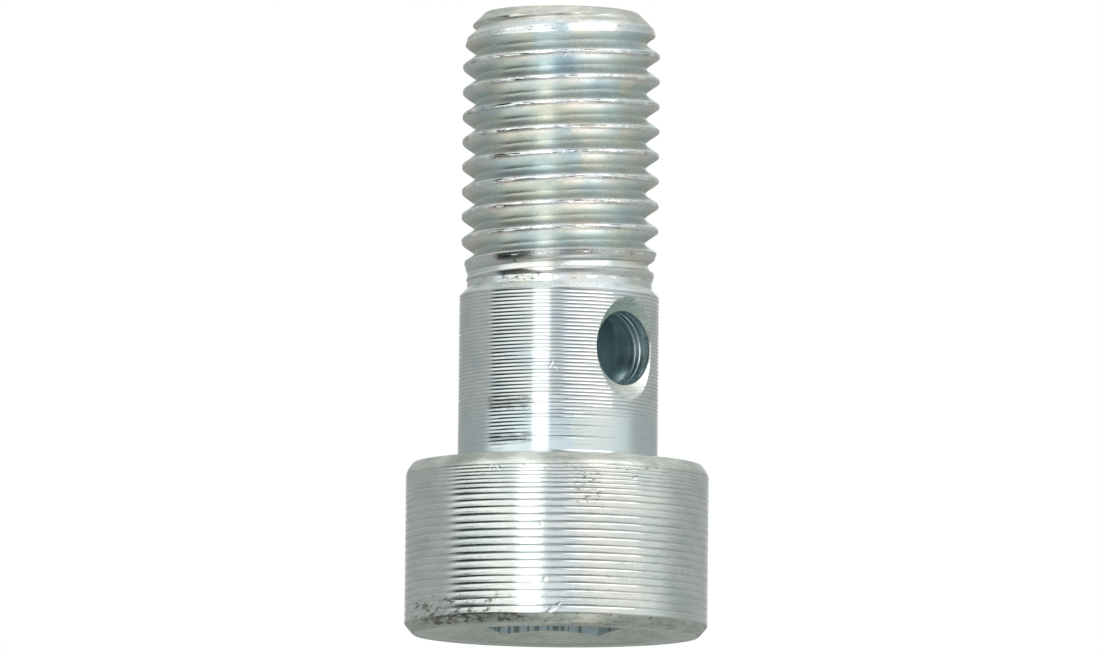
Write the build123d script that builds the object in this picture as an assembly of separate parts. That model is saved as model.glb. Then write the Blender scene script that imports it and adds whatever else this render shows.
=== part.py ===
from build123d import *
import math
import os

# Banjo bolt turned from one round bar: a cylindrical head with a hexagon socket, a plain shank with a
# drilling across it, and a rolled thread with a drilling down its axis that meets the cross drilling.
# Millimetres. Z runs up the bolt from the middle of the head's end face to the end of the thread,
# and X runs along the cross drilling.

# Head
head_diameter = 18.1
head_height = 10.25
face_bevel_height = 0.6   # bevel between the end face and the side of the head
face_bevel_width = 0.5
seat_bevel_height = 0.8   # bevel between the side of the head and the seat under it
seat_bevel_width = 0.45

# Plain shank, with a shoulder down to the neck
shank_diameter = 11.96
shank_length = 10.0       # seat to the shoulder's lower edge
seat_corner_bevel = 0.3   # 45 degree bevel in the corner between seat and shank
neck_length = 0.9         # shoulder's lower edge to the first trace of the thread

# Right-hand thread, M12 x 1.5, rolled from a blank of its pitch diameter
thread_diameter = 11.85
thread_pitch = 1.5
thread_depth = 0.82       # crest to root, measured across one side
knee_depth = 0.39         # the rolled crest is full: it slopes gently to a knee, then steeply to the root
knee_reach = 0.42         # along the bolt, from the middle of the crest to the knee
thread_length = 16.2      # first trace to the thread end
run_out = 2.8             # length over which the crests rise from the neck to full size
root_run_out = 1.6        # length over which the roots sink from the neck to full depth
lead_in = 2.7             # length below the thread end where the crests aren't full yet
lead_in_narrowing = 0.86  # on the diameter, at the upper end of the lead-in
end_bevel = 0.87          # 45 degree bevel at the thread end
thread_clocking = 3.0     # turn of the first crest away from the cross drilling, in degrees

# Drilling down the axis, blind
bore_diameter = 6.5
bore_floor_height = 13.95  # above the head's end face
bore_mouth_bevel = 0.4

# Drilling across the shank, right through, countersunk at both mouths
cross_diameter = 4.4
cross_height = 16.9       # above the head's end face
cross_sink_diameter = 6.15
cross_sink_angle = 120.0

# Hexagon socket in the head's end face, broached over a drilled pilot hole
socket_flats = 10.0
socket_depth = 6.0
socket_pilot_diameter = 9.6
socket_sink_diameter = 13.9
socket_sink_angle = 140.0
socket_clocking = 18.7    # turn of one flat away from the cross drilling, in degrees

# Point that the drills leave below a blind hole, with a small flat from the drill's chisel edge
drill_point_angle = 118.0
chisel_diameter = 0.8

# Heights and radii that follow from the sizes above
head_radius = head_diameter / 2
shank_radius = shank_diameter / 2
crest_radius = thread_diameter / 2
root_radius = crest_radius - thread_depth
neck_radius = crest_radius - thread_depth / 2
shoulder_height = head_height + shank_length
thread_foot = shoulder_height + neck_length
bolt_length = thread_foot + thread_length
lead_in_radius = crest_radius - lead_in_narrowing / 2
overshoot = 1.0           # how far cutting tools reach past the surface that they open
crest_clearance = 0.1     # how far the envelope that trims the thread stands clear of full crests


def turned(*outline):
    """The solid that an outline of (radius, height) points sweeps around the Z axis."""
    return revolve(make_face(Plane.XZ * Polyline(*outline, close=True)), axis=Axis.Z)


def cone_slope(angle):
    """Radius gained per millimetre of height on a cone of this full angle."""
    return math.tan(math.radians(angle / 2))


def point_height(diameter):
    """Height of the point below a blind hole of this diameter, down to its flat."""
    return (diameter - chisel_diameter) / 2 / cone_slope(drill_point_angle)


def head_and_shank():
    """Head, shank and neck, with the shoulder between shank and neck."""
    return turned(
        (0, 0),
        (head_radius - face_bevel_width, 0),
        (head_radius, face_bevel_height),
        (head_radius, head_height - seat_bevel_height),
        (head_radius - seat_bevel_width, head_height),
        (shank_radius + seat_corner_bevel, head_height),
        (shank_radius, head_height + seat_corner_bevel),
        (shank_radius, shoulder_height),
        (neck_radius, shoulder_height + shank_radius - neck_radius),
        (neck_radius, thread_foot),
        (0, thread_foot),
    )


def screw(turn_count, inner_radius):
    """Whole turns of thread around a tube, with the first crest at height 0 on the X axis.

    Each turn has the same strips, one between each two neighbouring helices of the thread's profile.
    """
    root_height = thread_pitch / 2
    knee_radius = crest_radius - knee_depth
    profile = [
        (root_radius, -root_height),
        (knee_radius, -knee_reach),
        (crest_radius, 0),
        (knee_radius, knee_reach),
        (root_radius, root_height),
        (inner_radius, root_height),
        (inner_radius, -root_height),
    ]
    helices = [Helix(thread_pitch, thread_pitch, radius, center=(0, 0, z)) for radius, z in profile]
    *outer, _, inner, bottom = [
        Face.make_surface_from_curves(helix, following)
        for helix, following in zip(helices, helices[1:] + helices[:1])
    ]
    turns = [Pos(0, 0, i * thread_pitch) * strip for i in range(turn_count) for strip in [*outer, inner]]
    start = make_face(Plane.XZ * Polyline(*profile, close=True))
    top = Pos(0, 0, turn_count * thread_pitch)
    return Solid(Shell([*turns, bottom, start, top * bottom, top * start]))


def threaded_end():
    """Thread with its lead-in at the free end and its run-out at the neck.

    A screw that is too long is fused to a longer core, and the envelope then trims both to length.
    """
    turn_count = math.ceil(thread_length / thread_pitch) + 2
    first_turn = thread_foot - thread_pitch
    core_radius = (bore_diameter / 2 + root_radius) / 2
    root_run_out_slope = root_run_out / (neck_radius - root_radius)
    core_foot = first_turn - thread_pitch
    core_top = first_turn + (turn_count + 2) * thread_pitch
    core = turned(
        (0, core_foot),
        (neck_radius, core_foot),
        (neck_radius, thread_foot),
        (core_radius, thread_foot + (neck_radius - core_radius) * root_run_out_slope),
        (core_radius, core_top),
        (0, core_top),
    )
    run_out_slope = run_out / (crest_radius - neck_radius)
    lead_in_slope = (lead_in - end_bevel) / (crest_radius - lead_in_radius)
    envelope_radius = crest_radius + crest_clearance
    envelope = turned(
        (0, thread_foot),
        (neck_radius, thread_foot),
        (envelope_radius, thread_foot + run_out + crest_clearance * run_out_slope),
        (envelope_radius, bolt_length - lead_in - crest_clearance * lead_in_slope),
        (lead_in_radius, bolt_length - end_bevel),
        (lead_in_radius - end_bevel, bolt_length),
        (0, bolt_length),
    )
    thread = Pos(0, 0, first_turn) * Rot(0, 0, thread_clocking) * screw(turn_count, bore_diameter / 2)
    return thread.fuse(core).intersect(envelope).solid()


def axial_drilling():
    """Blind bore from the thread end, with the drill's point below and a small bevel at its mouth."""
    radius = bore_diameter / 2
    point = bore_floor_height - point_height(bore_diameter)
    top = bolt_length + overshoot
    return turned(
        (0, point),
        (chisel_diameter / 2, point),
        (radius, bore_floor_height),
        (radius, bolt_length - bore_mouth_bevel),
        (radius + bore_mouth_bevel + overshoot, top),
        (0, top),
    )


def cross_drilling():
    """Straight hole through both walls of the shank, with a countersink at each mouth."""
    radius = cross_diameter / 2
    sink_start = shank_radius - (cross_sink_diameter / 2 - radius) / cone_slope(cross_sink_angle)
    reach = shank_radius + overshoot
    mouth_radius = radius + (reach - sink_start) * cone_slope(cross_sink_angle)
    drill = turned(
        (0, -reach),
        (mouth_radius, -reach),
        (radius, -sink_start),
        (radius, sink_start),
        (mouth_radius, reach),
        (0, reach),
    )
    return Pos(0, 0, cross_height) * Rot(0, 90, 0) * drill


def hexagon_socket():
    """Hexagon with a countersunk mouth in the end face, and the pilot drill's point behind its floor."""
    corner_radius = socket_flats / 2 / math.cos(math.pi / 6)
    flat_on_x = Rot(0, 0, socket_clocking + 30)
    hexagon = flat_on_x * RegularPolygon(corner_radius, 6)
    broached = Pos(0, 0, -overshoot) * extrude(hexagon, socket_depth + overshoot)
    floor = socket_depth - overshoot
    point = socket_depth + point_height(socket_pilot_diameter)
    pilot = turned(
        (0, floor),
        (socket_pilot_diameter / 2, floor),
        (socket_pilot_diameter / 2, socket_depth),
        (chisel_diameter / 2, point),
        (0, point),
    )
    sink_radius = socket_sink_diameter / 2
    sink_depth = sink_radius / cone_slope(socket_sink_angle) / 2
    sink = turned(
        (0, -overshoot),
        (sink_radius + overshoot * cone_slope(socket_sink_angle), -overshoot),
        (sink_radius / 2, sink_depth),
        (0, sink_depth),
    )
    return broached + pilot + sink


os.makedirs("parts", exist_ok=True)
bolt = head_and_shank() + threaded_end()
bolt -= axial_drilling()
bolt -= cross_drilling()
bolt -= hexagon_socket()
export_step(bolt.solid(), "parts/bolt_body.step")
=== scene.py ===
import math

import bmesh
import bpy
import numpy as np
from mathutils import Matrix, Vector


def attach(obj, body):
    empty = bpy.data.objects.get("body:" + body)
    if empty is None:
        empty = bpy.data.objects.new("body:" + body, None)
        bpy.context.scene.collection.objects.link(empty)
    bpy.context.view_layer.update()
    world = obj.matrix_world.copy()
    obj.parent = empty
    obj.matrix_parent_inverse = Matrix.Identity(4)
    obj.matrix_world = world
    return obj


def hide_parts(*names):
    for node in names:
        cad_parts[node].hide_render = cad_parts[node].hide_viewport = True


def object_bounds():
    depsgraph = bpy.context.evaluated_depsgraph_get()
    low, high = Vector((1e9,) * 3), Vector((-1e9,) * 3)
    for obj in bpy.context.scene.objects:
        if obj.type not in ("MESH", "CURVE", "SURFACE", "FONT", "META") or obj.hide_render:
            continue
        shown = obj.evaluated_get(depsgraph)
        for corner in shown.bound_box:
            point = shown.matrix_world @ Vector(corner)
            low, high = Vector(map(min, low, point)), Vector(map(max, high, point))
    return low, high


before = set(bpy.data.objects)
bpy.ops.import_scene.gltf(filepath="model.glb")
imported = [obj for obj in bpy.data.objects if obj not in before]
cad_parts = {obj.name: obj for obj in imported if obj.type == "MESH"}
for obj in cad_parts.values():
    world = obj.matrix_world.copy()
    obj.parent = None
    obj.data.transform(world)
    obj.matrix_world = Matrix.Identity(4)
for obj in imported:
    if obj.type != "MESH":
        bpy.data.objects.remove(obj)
cadBox = [list(corner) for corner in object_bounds()]
print("frame loaded, box", cadBox)

mm = 0.001
boltLength = cadBox[1][2] / mm
headRadius = cadBox[1][0] / mm
rng = np.random.default_rng(7)

# Sizes are in millimetres, and angles in degrees, round the bolt from the cross hole. "Rows" are shares of a
# stretch, and a "Wave" is a random curve round the bolt: number of waves and height.

meshSettings = {
    "columns": 144,  # a multiple of 6, so that the hexagon's corners fall on columns
    "socketTurn": 18.7,  # direction of one flat
    "weld": 0.0002,  # points nearer than this are one
    "sharpAngle": 32,  # edges that bend more are sharp
}
columns = meshSettings["columns"]
cornerAngle = math.radians(meshSettings["socketTurn"] + 30)
theta = cornerAngle + np.arange(columns) * 2 * math.pi / columns
directions = (np.degrees(theta) + 180) % 360 - 180


def smoothStep(low, high, value):
    # 0 at low and 1 at high, whichever of the two is larger
    t = np.clip((value - low) / (high - low), 0, 1)
    return t * t * (3 - 2 * t)


def softMin(a, b, width):
    h = np.clip(0.5 + (b - a) / (2 * width), 0, 1)
    return b + (a - b) * h - width * h * (1 - h)


def softMax(a, b, width):
    return -softMin(-a, -b, width)


def ripple(distance, width):
    # 1 at no distance, and next to nothing two widths away
    return np.exp(-((distance / width) ** 2))


def waviness(waves, amplitude):
    # a smooth random curve round the bolt, the same at 0 and 360 degrees
    total = np.zeros(columns)
    for n in range(1, waves + 1):
        total += rng.normal() * np.cos(n * theta + rng.uniform(0, 2 * math.pi))
    return amplitude * total / math.sqrt(waves / 2)


def uneven(spread):
    # a random factor near 1
    return rng.uniform(1 - spread, 1 + spread)


def drillSlope(angle):
    # radius gained per millimetre of depth on a cone of this full angle
    return math.tan(math.radians(angle / 2))


class Skin:
    # rows of points round the axis, joined to one closed surface
    def __init__(self):
        self.points = []
        self.faces = []
        self.lastRow = None

    def ring(self, radius, height):
        # one point in each column, not joined to anything yet
        first = len(self.points)
        for r, z, a in zip(radius, height, theta):
            self.points.append((r * math.cos(a), r * math.sin(a), z))
        return list(range(first, first + columns))

    def row(self, radius, height):
        new = self.ring(np.broadcast_to(radius, (columns,)), np.broadcast_to(height, (columns,)))
        if self.lastRow is not None:
            self.join(self.lastRow, new)
        self.lastRow = new
        return new

    def join(self, low, high):
        for i in range(columns):
            j = (i + 1) % columns
            self.faces.append((low[i], low[j], high[j], high[i]))

    def cap(self, row, height):
        centre = len(self.points)
        self.points.append((0, 0, height))
        for i in range(columns):
            self.faces.append((row[i], row[(i + 1) % columns], centre))


def addObject(name, data):
    thing = bpy.data.objects.new(name, data)
    bpy.context.scene.collection.objects.link(thing)
    return thing


socketSettings = {
    "flats": 10,
    "depth": 6,
    "pilot": 9.6,  # diameter of the drilled hole under the hexagon
    "sinkRadius": 6.95,
    "sinkAngle": 140,
    "drillPoint": 118,
    "chisel": 0.8,  # small flat at the drill's point
    "pointRows": 6,
    "wallRows": (0, 0.2, 0.4, 0.6, 0.75, 0.87, 0.95, 1),
    "sinkRows": (0.3, 0.7, 1),
}


def addSocket(skin):
    s = socketSettings
    turn = np.mod(theta - cornerAngle, math.pi / 3) - math.pi / 6
    wall = s["flats"] / 2 / np.cos(turn)
    chisel, pilot = s["chisel"] / 2, s["pilot"] / 2
    pointSlope = drillSlope(s["drillPoint"])
    sinkSlope = drillSlope(s["sinkAngle"])
    tip = s["depth"] + (pilot - chisel) / pointSlope
    first = skin.row(chisel, tip)
    skin.cap(first, tip)
    for radius in np.linspace(chisel, pilot, s["pointRows"])[1:]:
        skin.row(radius, tip - (radius - chisel) / pointSlope)
    mouth = (s["sinkRadius"] - wall) / sinkSlope
    for share in s["wallRows"]:
        skin.row(wall, s["depth"] + (mouth - s["depth"]) * share)
    for share in s["sinkRows"]:
        radius = wall + (s["sinkRadius"] - wall) * share
        skin.row(radius, (s["sinkRadius"] - radius) / sinkSlope)


headSettings = {
    "height": 10.25,
    # end face, burr and bevel: distance in from the side, and height
    "faceProfile": ((1.75, 0.03), (1.05, 0.03), (0.66, 0.03), (0.59, 0), (0.53, 0.004), (0.48, 0.039),
                    (0.42, 0.096), (0.25, 0.3), (0.05, 0.54), (0.02, 0.588)),
    "faceBevel": 0.6,  # height
    "grooveStart": 0.63,
    "groovePitch": (0.46, 0.20),  # low on the side, and close under the seat
    "grooveChange": (6.4, 9.2),  # heights
    "grooveDepth": 0.029,
    # shallower near the end face, deeper where they are close, and shallower on one side
    "depthHeights": (0.6, 2.4, 3.6, 6.5, 8.2),
    "depthShares": (0.8, 0.8, 1, 1, 1.3),
    "sides": (-180, -35, -14, 30, 60, 180),
    "sideShares": (1, 1, 0.78, 0.72, 1, 1),
    # shares of the pitch and of the depth: a nearly flat land, then a narrow groove
    "grooveProfile": ((0.16, 0.03), (0.42, 0), (0.64, 0.06), (0.74, 0.35), (0.84, 1), (0.94, 0.45),
                      (1, 0.1)),
    "pitchSpread": 0.07,
    "depthSpread": 0.25,
    "depthWave": (5, 0.10),
    "ridgeWave": (9, 0.002),
    "lastLand": 0.1,  # no groove starts nearer to the seat bevel
    "seatBevel": 0.8,  # height
    "seam": (0.03, 0.03),  # line below it: height above the bevel's foot, depth
    "seamShare": 0.6,  # of the depth all round, and the wave on top of it
    "seamWave": (9, 0.4),
    # the same for the seat bevel, with heights above its foot
    "seatProfile": ((0.015, 0.07), (0.0379, 0.18), (0.1082, 0.34), (0.2031, 0.5), (0.3191, 0.66),
                    (0.4029, 0.764)),
    "seatEdge": (0.49, 0.01),
    "seatWave": (7, 0.008),
    "seatRadii": (8.2, 7.4, 6.7),
}


def addHead(skin):
    s = headSettings
    for inward, height in s["faceProfile"]:
        skin.row(headRadius - inward, height)
    addHeadGrooves(skin)
    top = s["height"] - s["seatBevel"]
    height, depth = s["seam"]
    skin.row(headRadius - depth * (s["seamShare"] + np.abs(waviness(*s["seamWave"]))), top + height)
    for inward, height in s["seatProfile"]:
        skin.row(headRadius - inward, top + height)
    inward, drop = s["seatEdge"]
    skin.row(headRadius - inward, s["height"] - drop - np.abs(waviness(*s["seatWave"])))
    for radius in s["seatRadii"]:
        skin.row(radius, s["height"])


def addHeadGrooves(skin):
    s = headSettings
    low = s["grooveStart"]
    top = s["height"] - s["seatBevel"]
    widePitch, closePitch = s["groovePitch"]
    side = np.interp(directions, s["sides"], s["sideShares"])
    skin.row(headRadius, low)
    while low < top - s["lastLand"]:
        mix = smoothStep(*s["grooveChange"], low)
        pitch = (widePitch * (1 - mix) + closePitch * mix) * uneven(s["pitchSpread"])
        share = np.interp(low, s["depthHeights"], s["depthShares"])
        depth = s["grooveDepth"] * share * pitch / widePitch * uneven(s["depthSpread"])
        depth = depth * side * (1 + waviness(*s["depthWave"]))
        ridge = np.abs(waviness(*s["ridgeWave"]))
        for along, inward in s["grooveProfile"]:
            skin.row(headRadius - depth * inward - ridge * (along == 1), min(low + pitch * along, top))
        low += pitch


shankSettings = {
    "radius": 5.98,
    # the bevel at the seat: distance out from the shank, and height
    "footProfile": ((0.3, 0), (0.12, 0.15), (0, 0.35)),
    "top": 20.25,  # the shoulder's lower edge
    "neck": 5.53,
    "shoulderRows": (0.1, 0.4, 0.75, 1),
    "land": 0.05,  # plain ring above the grooves
    "groovePitch": 0.2175,
    "grooveDepth": 0.026,
    "grooveRows": (0.2, 0.5, 0.8, 1),
    "depthCycle": (1.25, 0.95, 0.85),  # every third groove is the deepest
    "depthSpread": 0.15,
    "depthWave": (6, 0.15),
    "fadeHeights": (10.7, 11, 11.5, 12.3, 13.6),  # where the grooves come up to full depth
    "fadeShares": (0, 0.75, 0.8, 0.8, 1),
    "sides": (-180, -110, -75, -40, -5, 30, 180),  # only one side has them right down to the foot
    "sideShares": (0.2, 0.2, 0.9, 0.75, 0.2, 0.2, 0.2),
    "allRound": (12, 13.6),
}


def addShank(skin):
    s = shankSettings
    radius = s["radius"]
    for outward, height in s["footProfile"]:
        low = headSettings["height"] + height
        skin.row(radius + outward, low)
    count = round((s["top"] - low) / s["groovePitch"])
    pitch = (s["top"] - low) / count
    side = np.interp(directions, s["sides"], s["sideShares"])
    for n in range(count):
        fade = np.interp(low, s["fadeHeights"], s["fadeShares"])
        fade = fade * (side + (1 - side) * smoothStep(*s["allRound"], low))
        depth = s["grooveDepth"] * s["depthCycle"][n % 3] * fade * uneven(s["depthSpread"])
        depth = depth * (1 + waviness(*s["depthWave"]))
        for share in s["grooveRows"]:
            arc = 1 - (2 * share - 1) ** 2
            skin.row(radius - depth * arc, low + pitch * share)
        low += pitch
    drop = radius - s["neck"]
    for share in s["shoulderRows"]:
        skin.row(radius - drop * share, low + s["land"] + drop * share)


threadSettings = {
    "pitch": 1.5,
    "crest": 5.925,
    "root": 5.105,
    "flankSlope": 1.5,  # radius lost per millimetre away from the crest
    "crestReach": 0.21,  # from the middle of the rounded crest to the straight flank
    "firstCrest": 0.138,  # height of a crest at angle 0, less whole pitches
    "foot": 21.15,
    "endRadius": 4.625,
    "phases": (-0.46, -0.41, -0.33, -0.24, -0.17, -0.11, -0.055, -0.02,
               0, 0.02, 0.055, 0.11, 0.17, 0.22, 0.27, 0.33, 0.41, 0.46, 0.5),
    # the thread's outline, with heights from the foot
    "trace": 0.12,  # how far the first trace of the crests stands out
    "traceTop": 0.45,
    "gain": 0.30,  # what the crests gain in the run-out
    "runOut": (0.2, 3.2),
    "rootRunOut": (0.25, 1.75),  # where the roots sink
    "rootClearance": 0.05,
    "leadIn": 2.7,  # length
    "leadInSlope": 0.235,  # radius lost per millimetre
    "crestClearance": 0.02,
    "endBevelSlope": 1.02,
    "limitRounding": (0.05, 0.06),
    "rootRound": 0.19,
    "rounding": (0.04, 0.03),  # where the thread meets the core and the outline
    "seamDepth": 0.018,  # line along the crests, where the rolled sides meet
    "seamWidth": 0.04,
    "seamWaves": (1.7, 5.3),
    "lapHeight": 0.33,  # lap in the last crest, above its middle
    "lapDepth": 0.05,
    "lapWidth": 0.08,
    "lapFrom": (1.9, 1.4),  # below the end
    "lean": (0.03, 0.25),  # how the cut-off crests of the run-out lean: slope and curve
    "leanFrom": (0.25, 0.6),  # height above the crest's middle, and reach down from there
    "leanTop": (22.7, 24.2),
    "roughness": 0.03,  # of the crests
    "roughWave": (40, 0.5),  # share of that
    "roughReach": 0.07,  # share of the pitch
    "startWidening": 0.4,  # the first crest is wider on its upper side
    "startHeight": 1.2,
    "endSoftness": 0.12,  # rows crowd together near both ends
    "snap": 0.004,  # and lie on an end that is nearer than this
}


def crestLimit(z):
    # largest radius of the thread's outline at each height: run-out, full crests, lead-in and bevel
    s = threadSettings
    rise = z - s["foot"]
    trace = s["trace"] * (1 - np.clip(1 - rise / s["traceTop"], 0, 1) ** 2)
    runOut = shankSettings["neck"] + trace + s["gain"] * smoothStep(*s["runOut"], rise)
    narrowing = s["leadInSlope"] * np.clip(z - (boltLength - s["leadIn"]), 0, None)
    leadIn = s["crest"] + s["crestClearance"] - narrowing
    bevel = s["endRadius"] + s["endBevelSlope"] * (boltLength - z)
    first, second = s["limitRounding"]
    return softMin(softMin(runOut, leadIn, first), bevel, second)


def rootLimit(z):
    # the core that the grooves sink into where they run out at the neck
    s = threadSettings
    neck = shankSettings["neck"]
    return neck - (neck - s["root"] + s["rootClearance"]) * smoothStep(*s["rootRunOut"], z - s["foot"])


def threadRadius(z, seam):
    s = threadSettings
    phase = (z - s["firstCrest"]) / s["pitch"] - theta / (2 * math.pi)
    above = np.mod(phase + 0.5, 1) * s["pitch"] - s["pitch"] / 2
    widening = s["startWidening"] * smoothStep(s["startHeight"], 0, z - s["foot"])
    away = np.maximum(np.abs(above) - np.where(above > 0, widening, 0), 0)
    bend = s["flankSlope"] / 2 / s["crestReach"]
    crown = s["crest"] - bend * np.minimum(away, s["crestReach"]) ** 2
    flank = crown - s["flankSlope"] * np.maximum(away - s["crestReach"], 0)
    radius = softMax(flank, s["root"], s["rootRound"])
    radius = radius - seam * ripple(away, s["seamWidth"])
    lapStart, lapFull = s["lapFrom"]
    lastCrest = smoothStep(boltLength - lapStart, boltLength - lapFull, z)
    lap = s["lapDepth"] * ripple(above - s["lapHeight"], s["lapWidth"]) * lastCrest
    leanStart, leanReach = s["leanFrom"]
    below = np.clip(leanStart - above, 0, leanReach)
    slope, curve = s["lean"]
    lean = (slope * below + curve * below ** 2) * smoothStep(*reversed(s["leanTop"]), z)
    core, outline = s["rounding"]
    radius = softMax(radius, rootLimit(z), core)
    return softMin(radius, crestLimit(z) - lean, outline) - lap


def threadRings(skin, firstTurn, turns):
    # rings that climb one pitch in each turn, pressed flat at the foot and at the end
    s = threadSettings
    climb = (theta - theta[0]) / (2 * math.pi)
    soft = s["endSoftness"]
    slowWave, quickWave = s["seamWaves"]
    rings = []
    for turn in range(firstTurn, firstTurn + turns):
        along = theta + 2 * math.pi * turn
        waves = np.sin(along * slowWave) * np.sin(along * quickWave + 1)
        seam = s["seamDepth"] * (1 + waves)
        for phase in s["phases"]:
            z = s["firstCrest"] + s["pitch"] * (turn + phase + theta[0] / (2 * math.pi) + climb)
            z = s["foot"] + soft * np.logaddexp(0, (z - s["foot"]) / soft)
            z = boltLength - soft * np.logaddexp(0, (boltLength - z) / soft)
            rough = s["roughness"] * ripple(phase, s["roughReach"]) * np.abs(waviness(*s["roughWave"]))
            radius = threadRadius(z, seam) - rough
            atFoot = z < s["foot"] + s["snap"]
            atEnd = z > boltLength - s["snap"]
            radius = np.where(atFoot, shankSettings["neck"], np.where(atEnd, s["endRadius"], radius))
            rings.append(skin.ring(radius, np.where(atFoot, s["foot"], np.where(atEnd, boltLength, z))))
    return rings


def addThread(skin):
    s = threadSettings
    skin.row(shankSettings["neck"], s["foot"])
    turns = math.ceil((boltLength - s["foot"]) / s["pitch"]) + 3
    firstTurn = math.floor((s["foot"] - s["firstCrest"]) / s["pitch"]) - 2
    rings = threadRings(skin, firstTurn, turns)
    step = len(s["phases"])
    last = columns - 1
    for j, (low, high) in enumerate(zip(rings, rings[1:])):
        strips = [(low[i], low[i + 1], high[i + 1], high[i]) for i in range(last)]
        if j + 1 + step < len(rings):
            # the last column meets the first one a turn higher
            strips.append((low[last], rings[j + step][0], rings[j + 1 + step][0], high[last]))
        for corners in strips:
            heights = [skin.points[c][2] for c in corners]
            if max(heights) > s["foot"] and min(heights) < boltLength:
                skin.faces.append(corners)
    skin.lastRow = None


boreSettings = {
    "radius": 3.25,
    "floor": 13.95,
    "mouthBevel": 0.4,
    "endFaceRadius": 4.2,
    "markPitch": 0.55,
    "markDepth": (0.008, 0.024),  # smallest and largest
    "pointRadii": (2.3, 1.3),
}


def addBore(skin):
    s = boreSettings
    radius = s["radius"]
    for r in (threadSettings["endRadius"], s["endFaceRadius"], radius + s["mouthBevel"]):
        skin.row(r, boltLength)
    low = boltLength - s["mouthBevel"]
    skin.row(radius, low)
    count = round((low - s["floor"]) / s["markPitch"])
    pitch = (low - s["floor"]) / count
    for n in range(count):
        skin.row(radius + rng.uniform(*s["markDepth"]), low - pitch * (n + 0.5))
        skin.row(radius, low - pitch * (n + 1))
    chisel = socketSettings["chisel"] / 2
    slope = drillSlope(socketSettings["drillPoint"])
    tip = s["floor"] - (radius - chisel) / slope
    for r in (*s["pointRadii"], chisel):
        last = skin.row(r, tip + (r - chisel) / slope)
    skin.cap(last, tip)


crossHoleSettings = {
    "radius": 2.2,
    "height": 16.9,
    "sinkRadius": 3.075,
    "sinkAngle": 120,
    "sinkBend": (0.35, 0.02),  # where the cone is a little hollow, and how much
    "edge": (0.06, 0.02),  # length and depth of the rounding between cone and hole
    "reach": 1,  # how far the drill stands out of the shank
    "segments": 84,
    "ringPitch": 0.40,
    "ringLength": 0.84,  # share of the pitch over which a tool mark gets deeper
    "ringDepths": (0.032, 0.040, 0.036, 0.030),  # tool marks just inside each mouth, from outside in
}


def crossDrillOutline():
    # half lengths and radii, mirrored to the other side
    s = crossHoleSettings
    slope = drillSlope(s["sinkAngle"])
    radius = s["radius"]
    start = shankSettings["radius"] - (s["sinkRadius"] - radius) / slope
    reach = shankSettings["radius"] + s["reach"]
    bend, hollow = s["sinkBend"]
    edgeLength, edgeDepth = s["edge"]
    outline = [(reach, radius + (reach - start) * slope), (start + bend, radius + (bend + hollow) * slope),
               (start, radius + edgeDepth)]
    x = start - edgeLength
    for depth in s["ringDepths"]:
        outline += [(x, radius), (x - s["ringPitch"] * s["ringLength"], radius + depth)]
        x -= s["ringPitch"]
    outline.append((x, radius))
    return outline + [(-x, r) for x, r in reversed(outline)]


def crossDrill():
    # the drill with its rings and countersinks, as a closed tool lying along X
    s = crossHoleSettings
    segments = s["segments"]
    angles = [2 * math.pi * n / segments for n in range(segments)]
    tool = bmesh.new()
    rings = []
    for x, r in crossDrillOutline():
        ring = [(x, r * math.cos(a), s["height"] + r * math.sin(a)) for a in angles]
        rings.append([tool.verts.new([part * mm for part in point]) for point in ring])
    for low, high in zip(rings, rings[1:]):
        for n in range(segments):
            m = (n + 1) % segments
            tool.faces.new((low[n], low[m], high[m], high[n]))
    tool.faces.new(rings[0])
    tool.faces.new(rings[-1])
    bmesh.ops.recalc_face_normals(tool, faces=tool.faces)
    mesh = bpy.data.meshes.new("crossDrill")
    tool.to_mesh(mesh)
    tool.free()
    return addObject("crossDrill", mesh)


def buildBolt():
    skin = Skin()
    for addPart in (addSocket, addHead, addShank, addThread, addBore):
        addPart(skin)
    mesh = bpy.data.meshes.new("bolt")
    mesh.from_pydata([Vector(p) * mm for p in skin.points], [], skin.faces)
    surface = bmesh.new()
    surface.from_mesh(mesh)
    bmesh.ops.remove_doubles(surface, verts=surface.verts, dist=meshSettings["weld"] * mm)
    bmesh.ops.recalc_face_normals(surface, faces=surface.faces)
    openEdges = [e for e in surface.edges if len(e.link_faces) != 2]
    print("bolt surface", len(surface.faces), "faces,", len(openEdges), "open edges")
    surface.to_mesh(mesh)
    surface.free()
    bolt = addObject("bolt", mesh)
    drill = crossDrill()
    cut = bolt.modifiers.new("crossHole", "BOOLEAN")
    cut.operation = "DIFFERENCE"
    cut.solver = "EXACT"
    cut.object = drill
    depsgraph = bpy.context.evaluated_depsgraph_get()
    cutMesh = bpy.data.meshes.new_from_object(bolt.evaluated_get(depsgraph))
    bolt.modifiers.clear()
    bolt.data = cutMesh
    bpy.data.objects.remove(drill)
    bolt.data.shade_smooth()
    bolt.data.set_sharp_from_angle(angle=math.radians(meshSettings["sharpAngle"]))
    bolt.data.calc_loop_triangles()
    print("bolt cut,", len(bolt.data.loop_triangles), "triangles")
    return bolt


bolt = buildBolt()
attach(bolt, "root")
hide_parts("bolt_body")


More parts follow.
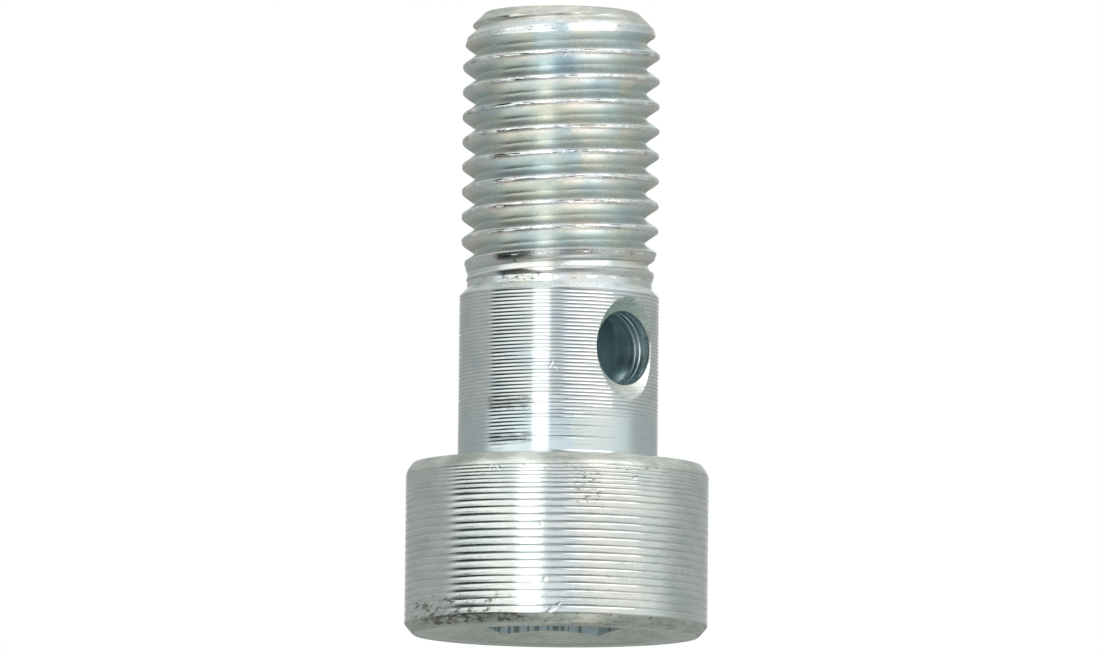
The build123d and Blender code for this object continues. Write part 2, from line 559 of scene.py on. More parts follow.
class Nodes:
    # a node tree, with short ways to add what the effects and finishes need
    def __init__(self, tree):
        self.tree = tree

    def add(self, kind, inputs=None, **settings):
        node = self.tree.nodes.new(kind)
        for name, value in settings.items():
            setattr(node, name, value)
        for socket, value in (inputs or {}).items():
            if isinstance(value, bpy.types.NodeSocket):
                self.tree.links.new(value, node.inputs[socket])
            else:
                node.inputs[socket].default_value = value
        return node

    def link(self, socket, target):
        self.tree.links.new(socket, target)

    def calculate(self, operation, a, b=0, c=0):
        return self.add("ShaderNodeMath", {0: a, 1: b, 2: c}, operation=operation).outputs[0]

    def times(self, a, b):
        return self.calculate("MULTIPLY", a, b)

    def over(self, a, b):
        return self.calculate("DIVIDE", a, b)

    def minus(self, a, b):
        return self.calculate("SUBTRACT", a, b)

    def scaled(self, value, factor, offset):
        return self.calculate("MULTIPLY_ADD", value, factor, offset)

    def rise(self, value, low, high, toLow=0, toHigh=1):
        # a soft step up between two values
        node = self.add("ShaderNodeMapRange", {0: value, 1: low, 2: high, 3: toLow, 4: toHigh})
        node.interpolation_type = "SMOOTHSTEP"
        return node.outputs[0]

    def fall(self, value, low, high):
        return self.rise(value, low, high, 1, 0)

    def blend(self, factor, a, b, mode="MIX"):
        inputs = {0: factor, 6: a, 7: b}
        return self.add("ShaderNodeMix", inputs, data_type="RGBA", blend_type=mode).outputs[2]

    def split(self, vector):
        return self.add("ShaderNodeSeparateXYZ", {0: vector}).outputs

    def join(self, x, y, z):
        return self.add("ShaderNodeCombineXYZ", {0: x, 1: y, 2: z}).outputs[0]

    def stretch(self, point, across, along):
        # the point with its own scales across and along the bolt
        scales = self.join(across, across, along)
        return self.add("ShaderNodeVectorMath", {0: point, 1: scales}, operation="MULTIPLY").outputs[0]

    def noise(self, vector, scale, detail, roughness):
        inputs = {"Vector": vector, "Scale": scale, "Detail": detail, "Roughness": roughness}
        return self.add("ShaderNodeTexNoise", inputs).outputs["Fac"]

    def effect(self, group, values=()):
        # a shared effect, with values for its inputs in their order
        return self.add("ShaderNodeGroup", dict(enumerate(values)), node_tree=group).outputs


class Effect(Nodes):
    # a shared effect: a node group with named inputs and outputs
    def __init__(self, name, inputs, outputs):
        super().__init__(bpy.data.node_groups.new(name, "ShaderNodeTree"))
        sockets = self.tree.interface
        for label, value in inputs.items():
            socket = sockets.new_socket(label, in_out="INPUT", socket_type="NodeSocketFloat")
            socket.default_value = value
        for label, kind in outputs.items():
            sockets.new_socket(label, in_out="OUTPUT", socket_type="NodeSocket" + kind)
        self.given = self.tree.nodes.new("NodeGroupInput").outputs
        self.result = self.tree.nodes.new("NodeGroupOutput").inputs

    def give(self, label, socket):
        self.link(socket, self.result[label])

    def place(self):
        return self.effect(placeOnBolt)


effectSettings = {
    # detail and roughness of each noise
    "noises": {"Cloud": (4, 0.6), "Speckle": (2, 0.6), "line": (3, 0.6), "stain": (4, 0.7)},
    "lineLevel": 0.72,  # noise that a line needs at share 0
    "lineDrop": 0.4,  # how much less it needs at share 1
    "lineEdge": 0.08,
    "lineTilt": -0.5,  # makes rings of the lines on flat faces
    "stainEnds": (0.35, 1),  # shares of the reach between which stains fade
    "stainSides": (0.4, 1),  # and of the spread
    "stainEdge": (0.84, 0.98),
    "stainArea": (0, 0.3),
    "nickEdge": (0.1, 1),
}


def makePlaceGroup():
    # where a point is on the bolt, in millimetres, and how far from the nearest crest of the thread
    outputs = {"Point": "Vector", "Height": "Float", "Turn": "Float", "Radius": "Float", "Crest": "Float"}
    n = Effect("placeOnBolt", {}, outputs)
    position = n.add("ShaderNodeTexCoord").outputs["Object"]
    point = n.add("ShaderNodeVectorMath", {0: position, 3: 1 / mm}, operation="SCALE").outputs[0]
    x, y, z = n.split(point)
    turn = n.over(n.calculate("ARCTAN2", y, x), 2 * math.pi)
    pitch = threadSettings["pitch"]
    rising = n.over(n.minus(z, threadSettings["firstCrest"]), pitch)
    crest = n.calculate("PINGPONG", n.minus(rising, turn), 0.5)
    n.give("Point", point)
    n.give("Height", z)
    n.give("Turn", turn)
    n.give("Radius", n.calculate("SQRT", n.scaled(y, y, n.times(x, x))))
    n.give("Crest", n.times(crest, pitch))
    return n.tree


def makeBloomGroup():
    # soft cloudy patches and fine speckle of an electroplated zinc surface
    inputs = {"Patch Size": 2, "Speckle Size": 0.15, "Stretch": 1}
    n = Effect("zincBloom", inputs, {"Cloud": "Float", "Speckle": "Float"})
    drawn = n.stretch(n.place()["Point"], 1, n.given["Stretch"])
    for label, size in (("Cloud", "Patch Size"), ("Speckle", "Speckle Size")):
        n.give(label, n.noise(drawn, n.over(1, n.given[size]), *effectSettings["noises"][label]))
    return n.tree


def makeMarksGroup():
    # fine broken lines round the bolt, as a cutting tool leaves them
    s = effectSettings
    inputs = {"Line Width": 0.1, "Line Length": 4, "Share": 0.4}
    n = Effect("turningMarks", inputs, {"Line": "Float", "Level": "Float"})
    place = n.place()
    x, y = [n.over(part, n.given["Line Length"]) for part in n.split(place["Point"])[:2]]
    feed = n.scaled(place["Radius"], s["lineTilt"], place["Height"])
    drawn = n.join(x, y, n.over(feed, n.given["Line Width"]))
    level = n.noise(drawn, 1, *s["noises"]["line"])
    low = n.minus(s["lineLevel"], n.times(n.given["Share"], s["lineDrop"]))
    n.give("Line", n.rise(level, low, n.calculate("ADD", low, s["lineEdge"])))
    n.give("Level", level)
    return n.tree


def makeStainGroup():
    # dark specks and smears that keep to one area: its height, its direction and how far they spread
    s = effectSettings
    inputs = {"Height": 1.5, "Reach": 1.2, "Direction": 0, "Spread": 30, "Speck Size": 0.4,
              "Cover": 0.5, "Streak": 1.8}
    n = Effect("stains", inputs, {"Mask": "Float"})
    place = n.place()
    away = n.calculate("ABSOLUTE", n.minus(place["Height"], n.given["Height"]))
    near = n.fall(n.over(away, n.given["Reach"]), *s["stainEnds"])
    offset = n.minus(place["Turn"], n.over(n.given["Direction"], 360))
    swing = n.times(n.calculate("PINGPONG", offset, 0.5), 360)
    side = n.fall(n.over(swing, n.given["Spread"]), *s["stainSides"])
    drawn = n.stretch(place["Point"], 1, n.given["Streak"])
    field = n.noise(drawn, n.over(1, n.given["Speck Size"]), *s["noises"]["stain"])
    area = n.times(near, side)
    level = n.scaled(area, n.given["Cover"], field)
    n.give("Mask", n.times(n.rise(level, *s["stainEdge"]), n.rise(area, *s["stainArea"])))
    return n.tree


def makeNickGroup():
    # one slanted dent, or a patch of that form, at a height and direction on the bolt
    inputs = {"Height": 0, "Direction": 0, "Length": 0.5, "Width": 0.12, "Slant": 0}
    n = Effect("nick", inputs, {"Mask": "Float"})
    place = n.place()
    turned = n.minus(place["Turn"], n.over(n.given["Direction"], 360))
    offset = n.calculate("WRAP", turned, 0.5, -0.5)
    arc = n.times(offset, n.times(place["Radius"], 2 * math.pi))
    rising = n.minus(place["Height"], n.given["Height"])
    slant = n.calculate("RADIANS", n.given["Slant"])
    cosine, sine = n.calculate("COSINE", slant), n.calculate("SINE", slant)
    u = n.over(n.scaled(arc, cosine, n.times(rising, sine)), n.given["Length"])
    v = n.over(n.minus(n.times(rising, cosine), n.times(arc, sine)), n.given["Width"])
    distance = n.scaled(u, u, n.times(v, v))
    n.give("Mask", n.fall(distance, *effectSettings["nickEdge"]))
    return n.tree


placeOnBolt = makePlaceGroup()
zincBloom = makeBloomGroup()
turningMarks = makeMarksGroup()
stains = makeStainGroup()
nick = makeNickGroup()
print("shared effects made")


class Material(Nodes):
    def __init__(self, name):
        self.material = bpy.data.materials.new(name)
        self.material.use_nodes = True
        super().__init__(self.material.node_tree)

    def set(self, values):
        # constant values of the Principled BSDF
        shader = self.tree.nodes["Principled BSDF"]
        for name, value in values.items():
            shader.inputs[name].default_value = value
        return shader

    def show(self, shader):
        self.link(shader, self.tree.nodes["Material Output"].inputs[0])
        return self.material


class Finish(Material):
    # a zinc finish: its colour is laid on step by step, then its roughness and relief complete it
    def __init__(self, name, settings):
        super().__init__(name)
        self.settings = settings
        self.cloud, self.speckle = self.effect(zincBloom, settings["bloom"])
        self.colour = settings["light"]

    def lay(self, mask, colour, share=1, mode="MIX"):
        # the colour where the mask is, or the colour's tint with mode MULTIPLY
        if share != 1:
            mask = self.times(mask, share)
        self.colour = self.blend(mask, self.colour, colour, mode)

    def layCloud(self):
        s = self.settings
        patches = self.scaled(self.speckle, s["cloudSpeckle"], self.cloud)
        self.lay(self.rise(patches, *s["cloudFrom"]), s["cloud"])

    def masks(self, group, places):
        # one mask for all places of a kind
        mask = 0
        for place in places:
            mask = self.calculate("MAXIMUM", self.effect(group, place)["Mask"], mask)
        return mask

    def varied(self, mean, swing, field):
        # a mean that a cloudy field moves up and down
        return self.scaled(field, swing, self.minus(mean, swing / 2))

    def relief(self, marks):
        lines, speckle = self.settings["relief"]
        return self.scaled(marks["Level"], lines, self.times(self.speckle, speckle))

    def complete(self, roughness, height):
        strength, distance = self.settings["bump"]
        inputs = {"Height": height, "Strength": strength, "Distance": distance * mm}
        bump = self.add("ShaderNodeBump", inputs).outputs[0]
        shader = self.set({"Metallic": 1})
        for socket, name in ((self.colour, "Base Color"), (roughness, "Roughness"), (bump, "Normal")):
            self.link(socket, shader.inputs[name])
        return self.material


# A colour that covers only in part comes with its share. "From" gives the two values between which something
# comes in, and "To" those where it goes out. "roughness" is a mean and how much the clouds change it, "bump"
# is strength and height, and "relief" is the shares of the tool's lines and of the speckle in it.
# bloom: patch size, speckle size, stretch along the bolt
# marks: line width, line length, share
# stains and smears: height, reach, direction, spread, speck size, cover, streak along the bolt
# nicks and patches: height, direction, length, width, slant

turnedHeadSettings = {
    "light": (0.74, 0.745, 0.72, 1),
    "cloud": (0.58, 0.635, 0.625, 1),
    "cloudFrom": (0.5, 0.92),
    "cloudSpeckle": 0.35,  # breaks up the clouds
    "line": ((0.42, 0.43, 0.41, 1), 0.45),
    "stain": ((0.14, 0.12, 0.085, 1), 0.8),
    "roughness": (0.15, 0.14),
    "stainRoughness": 0.35,
    "nickRoughness": 0.15,
    "bump": (0.5, 0.012),
    "relief": (0.7, 0.5),
    "nickRelief": -3,
    "bloom": (2.6, 0.16, 1.6),
    "marks": (0.06, 2, 0.4),
    "stains": ((0.9, 1.7, -90, 46, 0.6, 0.35), (9.6, 0.9, -30, 75, 0.35, 0.29),
               (8.3, 2.4, -33, 11, 0.35, 0.33, 3)),
    "nicks": ((0.85, -46, 0.75, 0.15, 38), (9.35, -70, 0.35, 0.1, 55), (9.35, -67.5, 0.35, 0.1, -55),
              (5.9, -50.5, 0.18, 0.14, 0), (2.6, -49, 0.2, 0.16, 0), (5.2, -103, 0.7, 0.06, 75),
              (8.8, -14, 0.3, 0.12, 20), (3.4, 12, 0.5, 0.06, -70)),
}

turnedShankSettings = {
    "light": (0.71, 0.73, 0.73, 1),
    "cloud": (0.61, 0.66, 0.675, 1),
    "cloudFrom": (0.40, 0.66),
    "cloudSpeckle": 0,
    "foot": ((0.61, 0.69, 0.71, 1), 0.8),  # bluer below the drilling
    "footTo": (11.5, 14.5),
    "line": ((0.40, 0.42, 0.43, 1), 0.4),
    "stain": ((0.30, 0.31, 0.32, 1), 0.75),
    "roughness": (0.11, 0.14),
    "stainRoughness": 0,
    "nickRoughness": 0.1,
    "bump": (0.3, 0.007),
    "relief": (0.7, 0.4),
    "nickRelief": -3,
    "bloom": (2, 0.14, 1.4),
    "marks": (0.05, 2, 0.35),
    "stains": ((13.45, 0.75, -74, 26, 0.5, 0.44, 4), (11.35, 0.6, -74, 26, 0.6, 0.46, 4)),
    "nicks": ((15.7, -49, 0.3, 0.1, 60), (15.5, -47, 0.3, 0.08, -40), (12.6, -38, 0.4, 0.05, 10)),
}


def turnedMaterial(name, s):
    n = Finish(name, s)
    marks = n.effect(turningMarks, s["marks"])
    dirt = n.masks(stains, s["stains"])
    dents = n.masks(nick, s["nicks"])
    n.layCloud()
    if "foot" in s:
        n.lay(n.fall(n.effect(placeOnBolt)["Height"], *s["footTo"]), *s["foot"])
    n.lay(marks["Line"], *s["line"])
    n.lay(dirt, *s["stain"])
    rough = n.scaled(dirt, s["stainRoughness"], n.varied(*s["roughness"], n.cloud))
    rough = n.scaled(dents, s["nickRoughness"], rough)
    return n.complete(rough, n.scaled(dents, s["nickRelief"], n.relief(marks)))


rolledSettings = {
    "light": (0.94, 0.88, 0.84, 1),  # yellow-green passivation, which the painted sky reflection leaves only on the lower flanks
    "recessShade": (0.50, 0.545, 0.495, 1),  # painted shade towards the root, where the flanks lie deep
    "recessShadeFrom": (0.2, 0.55),  # from the middle of the crest
    "upper": (0.92, 0.945, 0.97, 1),  # painted reflection of a bluish sky on the flanks that face up
    "upperFrom": (-0.4, 0.5),  # how far a face looks up
    "cloud": ((0.52, 0.60, 0.60, 1), 0.5),
    "cloudFrom": (0.44, 0.68),
    "grain": ((0.66, 0.69, 0.62, 1), 0.7),
    "grainFrom": (0.45, 0.62),
    "upright": (0.73, 0.745, 0.735, 1),  # crests, roots and the neck, which the rolls left smooth
    "flankFrom": (0.25, 0.65),  # how far a face looks up or down
    "tints": ((0.95, 1, 1.04, 1), (1.05, 1.01, 0.965, 1)),
    "tintSize": 2.6,
    "tintNoise": (2, 0.5),
    "tintFrom": (0.38, 0.62),
    "blue": ((0.46, 0.58, 0.64, 1), 0.75),
    "raggedShare": 0.4,  # makes the blue patches ragged
    "raggedFrom": (0.3, 0.45),
    "dirt": ((0.10, 0.115, 0.125, 1), 0.8),  # dark dashes beside the crests, and smears
    "dashes": (1.1, 3, 0.65),  # their noise: scale, detail, roughness
    "dirtFrom": (0.56, 0.64),
    "crestWobble": 0.08,
    "besideFrom": (0, 0.03),
    "besideTo": (0.04, 0.09),
    "worn": (0.97, 0.97, 0.95, 1),  # bright dashes where the crests are rubbed
    "wornTo": (0.40, 0.46),
    "crestTo": (0.03, 0.08),
    "roughness": (0.14, 0.34, 0.08),  # of upright faces, of the flanks, and the clouds' change
    "endRoughness": (34.6, 35.4, 0, 0.12),  # heights, and what is added below and above them
    "bump": (0.5, 0.013),
    "bloom": (1.4, 0.11, 1),
    "smears": ((22.1, 0.4, -74, 24, 0.5, 0.3, 0.6), (21.05, 0.45, -70, 30, 0.5, 0.36, 3.5)),
    "bluePatches": ((35.9, -46, 0.9, 0.4, 3), (33.8, -42.5, 1.1, 0.7, 3), (29.4, -41, 1.5, 0.6, 3),
                    (28.2, -38, 1.2, 0.5, 3), (32, -14, 1.5, 0.4, 3), (26.5, -20, 2.2, 0.4, 3),
                    (31.1, -95, 2.2, 0.4, 3)),
}


def rolledMaterial():
    s = rolledSettings
    n = Finish("zincRolledThread", s)
    place = n.effect(placeOnBolt)
    up = n.split(n.add("ShaderNodeTexCoord").outputs["Normal"])[2]
    steep = n.rise(n.calculate("ABSOLUTE", up), *s["flankFrom"])
    # painted shade: the flanks darken towards the root
    n.lay(n.rise(place["Crest"], *s["recessShadeFrom"]), s["recessShade"])
    # painted reflection: faces that look up turn bluish, as if showing the sky
    n.lay(n.rise(up, *s["upperFrom"]), s["upper"])
    n.lay(n.rise(n.cloud, *s["cloudFrom"]), *s["cloud"])
    n.lay(n.rise(n.speckle, *s["grainFrom"]), *s["grain"])
    n.lay(n.minus(1, steep), s["upright"])
    tint = n.rise(n.noise(place["Point"], 1 / s["tintSize"], *s["tintNoise"]), *s["tintFrom"])
    n.lay(1, n.blend(tint, *s["tints"]), mode="MULTIPLY")
    ragged = n.scaled(n.cloud, s["raggedShare"], n.times(n.speckle, s["raggedShare"]))
    n.lay(n.times(n.masks(nick, s["bluePatches"]), n.rise(ragged, *s["raggedFrom"])), *s["blue"])
    fromCrest = n.minus(place["Crest"], n.times(n.speckle, s["crestWobble"]))
    beside = n.times(n.rise(fromCrest, *s["besideFrom"]), n.fall(fromCrest, *s["besideTo"]))
    dashes = n.noise(place["Point"], *s["dashes"])
    dark = n.times(beside, n.rise(dashes, *s["dirtFrom"]))
    n.lay(n.calculate("MAXIMUM", dark, n.masks(stains, s["smears"])), *s["dirt"])
    n.lay(n.times(n.fall(fromCrest, *s["crestTo"]), n.fall(dashes, *s["wornTo"])), s["worn"])
    low, high, swing = s["roughness"]
    rough = n.varied(n.scaled(steep, high - low, low), swing, n.cloud)
    rough = n.calculate("ADD", rough, n.rise(place["Height"], *s["endRoughness"]))
    return n.complete(rough, n.speckle)


plainSettings = {
    "light": (0.84, 0.835, 0.79, 1),
    "cloud": (0.53, 0.59, 0.555, 1),
    "cloudFrom": (0.45, 1),
    "cloudSpeckle": 0.35,
    "line": ((0.45, 0.46, 0.43, 1), 0.5),
    "stain": ((0.13, 0.11, 0.075, 1), 0.8),
    "under": (0.81, 0.84, 0.80, 1),  # painted shade round the end face, which stands on the floor, with a slight green tint
    "underTo": (1, 2),  # heights where it ends
    "sink": (0.70, 0.84, 0.815, 1),  # tint of the cross hole's countersinks
    "sinkFrom": (14.8, 17.2),
    "sinkTo": (21, 22),
    "end": (1.06, 1.03, 1, 1),  # painted highlight: lightens the end of the thread
    "endFrom": (30, 31),
    "endFinish": 36.45,  # height where this finish starts there
    "paintedShade": (0.76, 0.76, 0.755, 1),  # painted shade on a few patches of the face and seat bevels
    "paintedShadePatches": ((0.3, -31.5, 2.8, 1.4, 0), (9.9, -35, 3.4, 0.9, 0), (9.9, -84, 1.6, 0.9, 0),
                    (9.9, -9, 1.3, 0.9, 0)),
    "roughness": (0.30, 0.14),
    "bump": (0.5, 0.010),
    "relief": (0.7, 0.5),
    "bloom": (1.8, 0.12, 1.6),
    "marks": (0.09, 1, 0.55),
    "stains": ((0.45, 0.6, -82, 44, 0.4, 0.42), (0.3, 0.8, -25, 60, 0.4, 0.29)),
}


def plainMaterial():
    s = plainSettings
    n = Finish("zincPlain", s)
    marks = n.effect(turningMarks, s["marks"])
    height = n.effect(placeOnBolt)["Height"]
    n.layCloud()
    n.lay(marks["Line"], *s["line"])
    sink = n.times(n.rise(height, *s["sinkFrom"]), n.fall(height, *s["sinkTo"]))
    # tints: painted shade round the end face, the countersinks' own tint, painted shade in a few patches,
    # and a painted highlight on the thread's end
    tints = ((n.fall(height, *s["underTo"]), s["under"]), (sink, s["sink"]),
             (n.masks(nick, s["paintedShadePatches"]), s["paintedShade"]), (n.rise(height, *s["endFrom"]), s["end"]))
    for mask, tint in tints:
        n.lay(mask, tint, mode="MULTIPLY")
    n.lay(n.masks(stains, s["stains"]), *s["stain"])
    return n.complete(n.varied(*s["roughness"], n.cloud), n.relief(marks))


insideSettings = {
    "light": (0.88, 0.97, 0.98, 1),
    "cloud": (0.84, 0.95, 0.96, 1),
    "cloudFrom": (0.36, 0.66),
    "cloudSpeckle": 0,
    "broach": (3.6, 0.05),  # lines up the socket's walls, across and along
    "broachNoise": (1, 1, 0.5),
    "wallTo": (5.6, 5.9),  # height where the walls end
    "line": ((0.92, 0.95, 0.96, 1), 0.6),  # bright broach lines: real marks drawn as painted highlights
    "broachHighlightFrom": (0.53, 0.60),
    "broachShade": ((0.08, 0.10, 0.11, 1), 0.6),  # and dark ones between them, drawn as painted shade
    "broachShadeTo": (0.38, 0.46),
    "drilledFrom": (9, 9.5),  # height between socket and drillings
    "ring": (0.38, 0.46, 0.48, 1),  # the cross hole's tool marks
    "ringStart": 5.05,  # the outermost one, from the axis
    "ringTo": (0, 0.2),
    "ringsFrom": (3.6, 4.2),
    "recessShade": (0.36, 0.52, 0.57, 1),  # painted shade down the bore
    "boreTo": (3.3, 3.6),  # radius
    "recessShadeTo": (22, 32),  # heights between which the painted shade fades out towards the mouth
    "deepRoughness": 0.3,  # added there
    "roughness": (0.30, 0.2),
    "bump": (0.3, 0.010),
    "bloom": (1.2, 0.2, 1),
}


def insideMaterial():
    s = insideSettings
    n = Finish("zincInsideHoles", s)
    place = n.effect(placeOnBolt)
    height = place["Height"]
    n.layCloud()
    broach = n.noise(n.stretch(place["Point"], *s["broach"]), *s["broachNoise"])
    walls = n.fall(height, *s["wallTo"])
    # real broach marks on the socket's walls, drawn as painted highlights and painted shade
    n.lay(n.times(n.rise(broach, *s["broachHighlightFrom"]), walls), *s["line"])
    n.lay(n.times(n.fall(broach, *s["broachShadeTo"]), walls), *s["broachShade"])
    drilled = n.rise(height, *s["drilledFrom"])
    away = n.calculate("ABSOLUTE", n.split(place["Point"])[0])
    rings = n.over(n.minus(s["ringStart"], away), crossHoleSettings["ringPitch"])
    ring = n.fall(n.calculate("PINGPONG", rings, 0.5), *s["ringTo"])
    n.lay(n.times(n.times(ring, n.rise(away, *s["ringsFrom"])), drilled), s["ring"])
    # painted shade: the bore darkens further down, away from its mouth
    bore = n.times(n.fall(place["Radius"], *s["boreTo"]), n.fall(height, *s["recessShadeTo"]))
    bore = n.times(bore, drilled)
    n.lay(bore, s["recessShade"])
    rough = n.scaled(bore, s["deepRoughness"], n.varied(*s["roughness"], n.speckle))
    return n.complete(rough, n.speckle)


finishes = [turnedMaterial("zincTurnedHead", turnedHeadSettings),
            turnedMaterial("zincTurnedShank", turnedShankSettings),
            rolledMaterial(), plainMaterial(), insideMaterial()]
turnedHead, turnedShank, rolled, plain, inside = range(len(finishes))

# how far finishes reach past their seams
slack = {"mouth": 0.3, "wall": 0.05, "faceBevel": 0.01, "seatBevel": 0.02, "seat": 0.05, "bore": 0.1,
         "boreMouth": 0.2, "hole": 0.06, "sink": 0.06, "shoulder": 0.1}


def finishAt(x, y, z):
    # which finish a point of the surface has: the first that fits
    head, shank, hole = headSettings, shankSettings, crossHoleSettings
    radius = math.hypot(x, y)
    fromHole = math.hypot(y, z - hole["height"])
    turn = (math.atan2(y, x) - cornerAngle) % (math.pi / 3) - math.pi / 6
    wall = socketSettings["flats"] / 2 / math.cos(turn)
    places = (
        (inside, slack["mouth"] < z < head["height"] and radius < wall + slack["wall"]),
        (plain, z < head["faceBevel"] + slack["faceBevel"]),
        (turnedHead, z < head["height"] - head["seatBevel"] + slack["seatBevel"]),
        (plain, z < head["height"] + slack["seat"]),
        (inside, radius < boreSettings["radius"] + slack["bore"] and z < boltLength - slack["boreMouth"]),
        (inside, fromHole < hole["radius"] + slack["hole"]),
        (plain, fromHole < hole["sinkRadius"] and radius < shank["radius"] - slack["sink"]),
        (turnedShank, z < shank["top"] + slack["shoulder"]),
        (plain, z > plainSettings["endFinish"]),
        (rolled, True),
    )
    return next(finish for finish, fits in places if fits)


bolt.data.materials.clear()
for finish in finishes:
    bolt.data.materials.append(finish)
for face in bolt.data.polygons:
    x, y, z = face.center / mm
    face.material_index = finishAt(x, y, z)
print("finishes put on")

cameraSettings = {
    "azimuth": 45.3,
    "elevation": -5.84,
    "distance": 1000,
    "roll": 0.6,
    "target": 18.95,  # height on the axis
    "targetPixel": (558.98, 319.92),
    "focalPixels": 16720,  # focal length in pixels of the whole image
    "imageSize": (1100, 650),
    "sensorWidth": 36,
    "clip": (0.01, 10),  # metres
}

studioSettings = {
    "floorRadius": 1200,
    "floorHole": 8.5,  # hidden under the head, lets light reach the end face
    "floorSegments": 96,
    "floorDrop": 0.01,  # below the bolt
    "floorColour": (0.82, 0.82, 0.81, 1),
    "floorRoughness": 0.9,
    "floorSpecular": 0.1,
    "worldColour": (1, 1, 1, 1),
    "worldStrength": 1,
}

# A dome that only shows in the bolt's reflections. Its sides give, for directions to the right from the
# camera's side, the horizon's tilt and how bright the dome is at the tilts below and above the horizon.
domeSettings = {
    "distance": 900,
    "tilts": (-89, -75, -60, -48, -38, -30, -25, -21, -18, -15, -12, -9, -6, -3, 0, 3, 6, 9,
              14, 20, 28, 36, 46, 58, 70),
    "angleStep": 3,
    "horizonWidth": 3,
    "belowTilts": (-80, -62, -42, -22, -6),
    "aboveTilts": (8, 32, 62),
    "sides": (
        (-180, 1.5, (0.85, 0.60, 0.42, 0.42, 0.42), (1.00, 1.00, 0.80)),
        (-172, 1.5, (1.05, 0.60, 0.42, 0.40, 0.40), (0.74, 0.85, 0.80)),
        (-160, 1.5, (1.15, 0.60, 0.40, 0.38, 0.38), (0.44, 0.55, 0.70)),
        (-130, 1.5, (0.92, 0.48, 0.42, 0.41, 0.42), (0.45, 0.57, 0.85)),
        (-96, 1.5, (0.42, 0.42, 0.43, 0.44, 0.46), (0.50, 0.60, 0.50)),
        (-88, 1.5, (0.42, 0.42, 0.42, 0.43, 0.45), (0.72, 0.70, 0.40)),
        (-83, 3.0, (0.40, 0.30, 0.16, 0.06, 0.02), (1.16, 1.00, 0.32)),
        (-72, 3, (0.40, 0.32, 0.18, 0.07, 0.01), (1.20, 1.28, 0.60)),
        (-64, 1, (0.40, 0.34, 0.20, 0.08, 0.01), (1.22, 1.30, 0.72)),
        (-54, -1, (0.42, 0.36, 0.24, 0.10, 0.02), (1.28, 1.35, 0.80)),
        (-42, -5, (0.46, 0.40, 0.30, 0.18, 0.10), (1.25, 1.35, 1.00)),
        (-33, -9, (0.56, 0.48, 0.38, 0.30, 0.22), (1.18, 1.38, 1.50)),
        (-30, -9, (0.56, 0.48, 0.70, 1.00, 1.10), (1.20, 1.45, 1.45)),
        (-12, -9, (0.60, 0.52, 0.68, 1.00, 1.10), (1.20, 1.45, 1.05)),
        (-9, -6, (0.72, 0.66, 0.62, 0.56, 0.50), (1.10, 0.80, 0.40)),
        (12, -6, (0.70, 0.76, 0.40, 0.29, 0.25), (1.05, 0.72, 0.30)),
        (18, -6, (0.40, 1.52, 0.58, 0.32, 0.27), (1.08, 1.05, 0.55)),
        (38, -6, (1.00, 1.62, 0.68, 0.45, 0.41), (1.13, 1.20, 0.86)),
        (52, -6, (1.00, 1.34, 0.70, 0.62, 0.60), (1.07, 1.16, 0.96)),
        (66, -4, (0.85, 0.80, 0.64, 0.64, 0.63), (1.02, 1.04, 0.84)),
        (84, -2, (0.45, 0.45, 0.50, 0.54, 0.55), (0.88, 0.84, 1.00)),
        (100, 0, (0.40, 0.40, 0.43, 0.46, 0.48), (0.57, 0.76, 1.15)),
        (148, 1.5, (0.75, 0.55, 0.42, 0.42, 0.43), (0.48, 0.60, 0.75)),
        (160, 1.5, (0.80, 0.60, 0.42, 0.40, 0.40), (0.52, 0.65, 0.80)),
        (172, 1.5, (0.80, 0.60, 0.42, 0.40, 0.40), (0.74, 0.90, 0.80)),
        (180, 1.5, (0.85, 0.60, 0.42, 0.42, 0.42), (1.00, 1.00, 0.80)),
    ),
    # tints in the same directions: a bluer strip in front, warmer beside it
    "tintSides": (-180, -13, -9, 15, 19, 58, 72, 180),
    "tints": ((0.95, 1.0, 0.98), (0.95, 1.0, 0.98), (0.93, 0.99, 1.03), (0.93, 0.99, 1.03),
              (1.0, 0.99, 0.955), (1.0, 0.99, 0.955), (0.95, 1.0, 0.98), (0.95, 1.0, 0.98)),
}

# Lamps: direction, tilt, distance, width, height, and how bright their faces are against white
lampSettings = {
    "strip": (-20.6, 8, 500, 140, 400, 1.6),
    "overhead": (40, 38, 700, 700, 330, 1.15),
}


def direction(angle, tilt):
    # from an angle to the right from the camera's side, and a tilt up
    a = math.radians(cameraSettings["azimuth"] - 90 + angle)
    t = math.radians(tilt)
    return Vector((math.cos(a) * math.cos(t), math.sin(a) * math.cos(t), math.sin(t)))


def addThing(name, points, faces, material):
    # a piece of the studio that isn't part of the bolt
    mesh = bpy.data.meshes.new(name)
    mesh.from_pydata([p * mm for p in points], [], faces)
    mesh.materials.append(material)
    thing = addObject(name, mesh)
    return thing


def domeMaterial():
    n = Material("domeLight")
    shade = n.add("ShaderNodeAttribute", attribute_name="shade").outputs["Color"]
    return n.show(n.add("ShaderNodeEmission", {"Color": shade}).outputs[0])


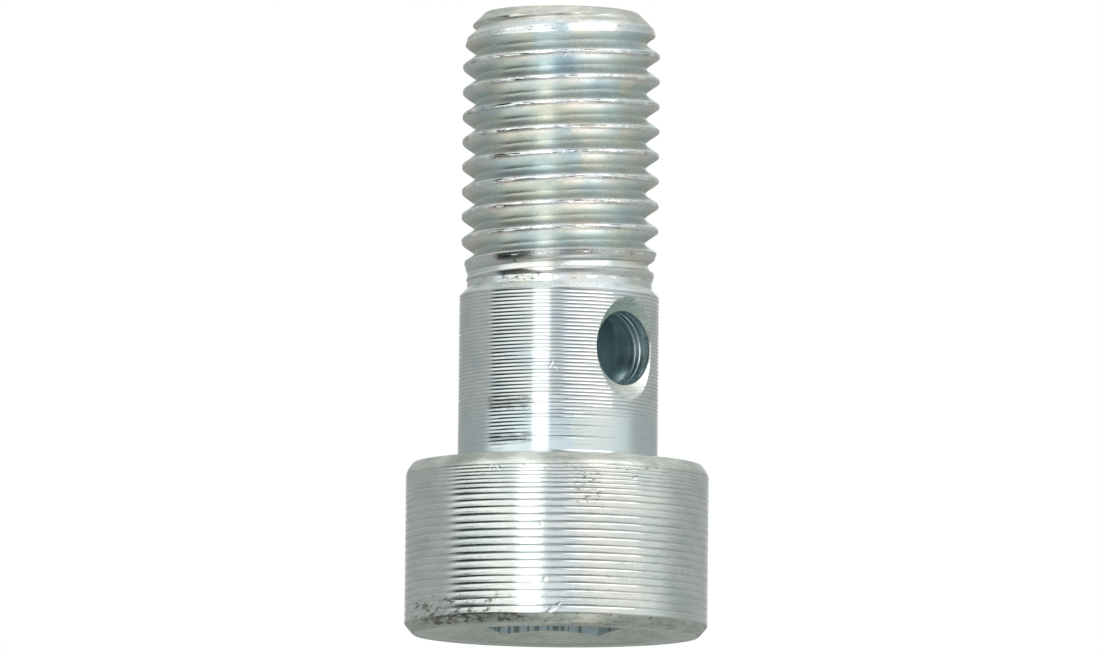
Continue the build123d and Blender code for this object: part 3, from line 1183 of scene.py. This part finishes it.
def addDome():
    s = domeSettings
    centre = Vector((0, 0, cameraSettings["target"]))
    columnCount = 360 // s["angleStep"]
    sides, horizons, belowLevels, aboveLevels = zip(*s["sides"])
    points = []
    shades = []
    for i in range(columnCount):
        angle = -180 + i * s["angleStep"]
        horizon = np.interp(angle, sides, horizons)
        below = [np.interp(angle, sides, levels) for levels in zip(*belowLevels)]
        above = [np.interp(angle, sides, levels) for levels in zip(*aboveLevels)]
        tint = [np.interp(angle, s["tintSides"], parts) for parts in zip(*s["tints"])]
        for tilt in s["tilts"]:
            points.append(centre + direction(angle, tilt) * s["distance"])
            high = smoothStep(horizon - s["horizonWidth"], horizon + s["horizonWidth"], tilt)
            low = np.interp(tilt, s["belowTilts"], below)
            level = low + (np.interp(tilt, s["aboveTilts"], above) - low) * high
            shades.append([level * part for part in tint] + [1])
    rowCount = len(s["tilts"])
    faces = []
    for i in range(columnCount):
        for j in range(rowCount - 1):
            low, following = i * rowCount + j, (i + 1) % columnCount * rowCount + j
            faces.append((low, low + 1, following + 1, following))
    dome = addThing("dome", points, faces, domeMaterial())
    colours = dome.data.color_attributes.new("shade", "FLOAT_COLOR", "POINT")
    colours.data.foreach_set("color", np.array(shades).ravel())
    for ray in ("camera", "diffuse", "shadow", "transmission"):
        setattr(dome, "visible_" + ray, False)


def addLamp(name, angle, tilt, distance, width, height, brightness):
    lamp = bpy.data.lights.new(name, "AREA")
    lamp.shape = "RECTANGLE"
    lamp.size = width * mm
    lamp.size_y = height * mm
    lamp.energy = brightness * math.pi * lamp.size * lamp.size_y
    thing = addObject(name, lamp)
    towards = direction(angle, tilt)
    thing.location = (Vector((0, 0, cameraSettings["target"])) + towards * distance) * mm
    thing.rotation_mode = "QUATERNION"
    thing.rotation_quaternion = towards.to_track_quat("Z", "Y")
    thing.visible_camera = False


def floorMaterial():
    # clear from below, where the camera is
    s = studioSettings
    n = Material("paleFloor")
    shader = n.set({"Base Color": s["floorColour"], "Roughness": s["floorRoughness"],
                    "Specular IOR Level": s["floorSpecular"]})
    below = n.add("ShaderNodeNewGeometry").outputs["Backfacing"]
    clear = n.add("ShaderNodeBsdfTransparent").outputs[0]
    return n.show(n.add("ShaderNodeMixShader", {0: below, 1: shader.outputs[0], 2: clear}).outputs[0])


def addFloor():
    s = studioSettings
    segments = s["floorSegments"]
    points = []
    for n in range(segments):
        a = 2 * math.pi * n / segments
        for r in (s["floorHole"], s["floorRadius"]):
            points.append(Vector((r * math.cos(a), r * math.sin(a), -s["floorDrop"])))
    faces = []
    for n in range(segments):
        m = (n + 1) % segments
        faces.append((2 * n, 2 * n + 1, 2 * m + 1, 2 * m))
    floor = addThing("floor", points, faces, floorMaterial())
    floor.visible_glossy = False


def addWorld():
    world = bpy.data.worlds.new("studio")
    bpy.context.scene.world = world
    world.use_nodes = True
    background = world.node_tree.nodes["Background"]
    background.inputs["Color"].default_value = studioSettings["worldColour"]
    background.inputs["Strength"].default_value = studioSettings["worldStrength"]


def addCamera():
    s = cameraSettings
    camera = bpy.data.cameras.new("camera")
    width, height = s["imageSize"]
    camera.sensor_width = s["sensorWidth"]
    camera.lens = s["focalPixels"] / width * camera.sensor_width
    camera.shift_x = (width / 2 - s["targetPixel"][0]) / width
    camera.shift_y = (s["targetPixel"][1] - height / 2) / width
    camera.clip_start, camera.clip_end = s["clip"]
    viewer = addObject("camera", camera)
    back = direction(0, s["elevation"])
    viewer.rotation_mode = "QUATERNION"
    viewer.location = (Vector((0, 0, s["target"])) + back * s["distance"]) * mm
    turn = Matrix.Rotation(math.radians(s["roll"]), 4, back)
    level = (-back).to_track_quat("-Z", "Y").to_matrix().to_4x4()
    viewer.rotation_quaternion = (turn @ level).to_quaternion()
    bpy.context.scene.camera = viewer


addFloor()
addWorld()
addDome()
for name, lamp in lampSettings.items():
    addLamp(name, *lamp)
addCamera()
bpy.context.scene.view_settings.view_transform = "Standard"
print("studio and camera set")
